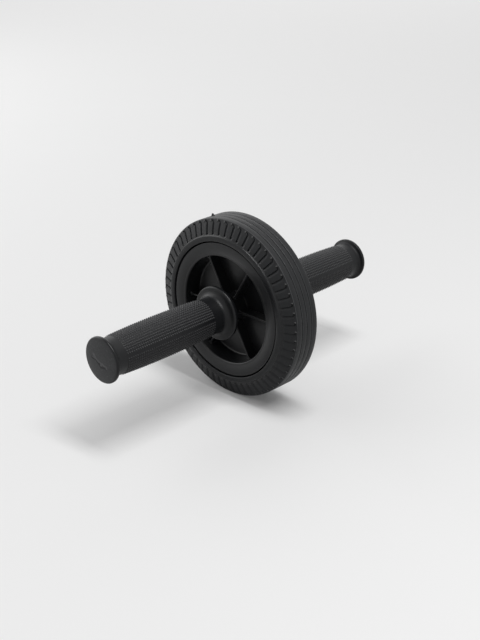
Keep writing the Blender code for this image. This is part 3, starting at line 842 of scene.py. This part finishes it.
grip_rubber = Finish("grip_rubber", gloss=0.22)
grip_flow = grip_rubber.noise(60, detail=3.0, roughness=0.55)
grip_grain = grip_rubber.noise(3000)
grip_dust = grip_rubber.specks(spacing=0.0034, size=0.00020, share=0.05)
worn = grip_rubber.noise(170, detail=3.0, roughness=0.6)
scratch = grip_rubber.noise(900, detail=3.0, roughness=0.6)
grip_along = grip_rubber.axis("Y").absolute()
on_end = grip_along.between(*END_START)
on_neck = grip_along.between(*OUTER_NECK_IN) * (1 - grip_along.between(*OUTER_NECK_OUT))
on_guard_lip = grip_along.between(*GUARD_LIP_IN) * (1 - grip_along.between(*GUARD_LIP_OUT))
on_lips = on_guard_lip + grip_along.between(*END_LIP_IN)

above_axle = grip_rubber.axis("Z") - AXLE_HEIGHT
from_scuff = grip_rubber.axis("X") * SCUFF_SIDE + above_axle * SCUFF_UP + SCUFF_OFFSET
along_scuff = grip_rubber.axis("X") * -SCUFF_UP + above_axle * SCUFF_SIDE
waver = from_scuff + SCUFF_WAVER * (grip_rubber.noise(170) - 0.5)
within_length = 1 - along_scuff.absolute().between(*SCUFF_LENGTH_FADE)
on_scuff = on_end * within_length * (grip_rubber.axis("Y") < 0)
scuff_reach = SCUFF_FADE_WIDTH + SCUFF_SCRATCH_WIDTH * scratch
scuff = on_scuff * (1 - waver.absolute().between(SCUFF_HALF_WIDTH, scuff_reach))
ridge = on_scuff * (1 - (waver - RIDGE_OFFSET).absolute().between(*RIDGE_FADE))

grip_colour = grip_rubber.blend(grip_flow, GRIP_DARK, GRIP_PALE)
# Dots painted paler: wear on their tips, and a painted highlight that is stronger above the parting lines
grip_colour = grip_rubber.blend(grip_rubber.attribute("dot"), grip_colour, DOT_WORN_AND_HIGHLIT)
grip_colour = grip_rubber.blend(on_neck * (0.4 + 0.6 * worn), grip_colour, NECK_WORN)
grip_colour = grip_rubber.blend(on_end * (0.5 + 0.5 * worn), grip_colour, END_WORN)
grip_colour = grip_rubber.blend(on_end * scratch.between(0.5, 0.8), grip_colour, END_SCRATCHED)
# Painted highlight along the scuff's upper side, then painted shade in its floor
grip_colour = grip_rubber.blend(0.6 * ridge, grip_colour, SCUFF_EDGE_HIGHLIGHT)
grip_colour = grip_rubber.blend(scuff, grip_colour, SCUFF_FLOOR_SHADE)
grip_colour = grip_rubber.blend(grip_dust, grip_colour, GRIP_DUST)
grip_roughness = 0.31 + 0.08 * grip_flow + 0.05 * grip_grain + 0.20 * on_end + 0.06 * on_neck - 0.10 * on_lips
grip_rubber.surface(grip_colour, grip_roughness)
grip_rubber.relief(grip_grain + grip_flow + 3.0 * ridge - 4.0 * scuff, depth=0.00004)
for side_name, side in (("right", -1), ("left", 1)):
    points, dot_wear_and_light = grip_surface(side)
    grip_faces = shell_faces(len(grip_profile), DOT_COLUMNS * DOT_STEPS_ROUND)
    grip = make_piece("grip_sleeve_" + side_name, points, grip_faces)
    keep_on_points(grip, "dot", dot_wear_and_light)
    grip.data.materials.append(grip_rubber.material)
    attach(grip, "handle")
    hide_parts("grip_" + side_name)


# Floor
# A plain pale floor that keeps the object's shadow and runs past the edges of the picture. What the
# camera, gloss or glass sees of it also glows, a little near the object and more far away.
FLOOR_REACH = 6.0
FLOOR_COLOUR = opaque(0.74, 0.74, 0.74)
FLOOR_GLOW_NEAR = opaque(0.07, 0.07, 0.07)
FLOOR_GLOW_FAR = opaque(0.49, 0.49, 0.49)
FLOOR_GLOW_AREA = 1.3

floor_mesh = bpy.data.meshes.new("floor")
floor_corners = np.array(((-1, -1, 0), (1, -1, 0), (1, 1, 0), (-1, 1, 0))) * FLOOR_REACH
floor_mesh.from_pydata(floor_corners.tolist(), [], [(0, 1, 2, 3)])
floor = bpy.data.objects.new("floor", floor_mesh)
bpy.context.scene.collection.objects.link(floor)
pale = Finish("pale_floor", gloss=0.1)
pale.surface(FLOOR_COLOUR, 0.9)
light_path = pale.node("ShaderNodeLightPath", {}, {})
seen = light_path["Is Camera Ray"] + light_path["Is Glossy Ray"] + light_path["Is Transmission Ray"]
away = pale.node("ShaderNodeVectorMath", {"operation": "LENGTH"}, {0: pale.place})["Value"]
far_share = away * away / (away * away + FLOOR_GLOW_AREA)
pale.feed(pale.shader.inputs["Emission Color"], pale.blend(far_share, FLOOR_GLOW_NEAR, FLOOR_GLOW_FAR))
pale.feed(pale.shader.inputs["Emission Strength"], seen)
floor_mesh.materials.append(pale.material)


# Light
# Soft studio light: a wide lamp overhead, one on the left and one behind, and an even white
# surround. What the lens, gloss or glass sees of the surround is plain white.
SURROUND_LEVEL = 0.25
PLAIN_WHITE = 1.0
LAMP_AIM = (0, 0, 0.07)

world = bpy.data.worlds.new("surround")
world.use_nodes = True
surround = Nodes(world.node_tree)
background = world.node_tree.nodes["Background"]
background.inputs["Color"].default_value = opaque(1, 1, 1)
path = surround.node("ShaderNodeLightPath", {}, {})
gloss_or_glass = path["Is Glossy Ray"].larger(path["Is Transmission Ray"])
seen_directly = path["Is Camera Ray"].larger(gloss_or_glass)
level_sockets = {"Value": seen_directly, "To Min": SURROUND_LEVEL, "To Max": PLAIN_WHITE}
surround.feed(background.inputs["Strength"], surround.node("ShaderNodeMapRange", {}, level_sockets)["Result"])
bpy.context.scene.world = world


def soft_lamp(name, place, width, height, power):
    """A rectangular soft lamp at a place, turned to face the object."""
    lamp = bpy.data.lights.new(name, "AREA")
    lamp.shape = "RECTANGLE"
    lamp.size = width
    lamp.size_y = height
    lamp.energy = power
    holder = bpy.data.objects.new(name, lamp)
    holder.location = place
    holder.rotation_euler = (Vector(LAMP_AIM) - Vector(place)).to_track_quat("-Z", "Y").to_euler()
    bpy.context.scene.collection.objects.link(holder)


soft_lamp("overhead", place=(0.46, 0.02, 1.40), width=0.32, height=1.05, power=15)
soft_lamp("left_side", place=(-1.4, -0.45, 0.80), width=1.6, height=1.4, power=10.5)
soft_lamp("behind", place=(-2.0, 2.1, 1.35), width=2.4, height=1.8, power=9)

bpy.context.scene.view_settings.view_transform = "Standard"
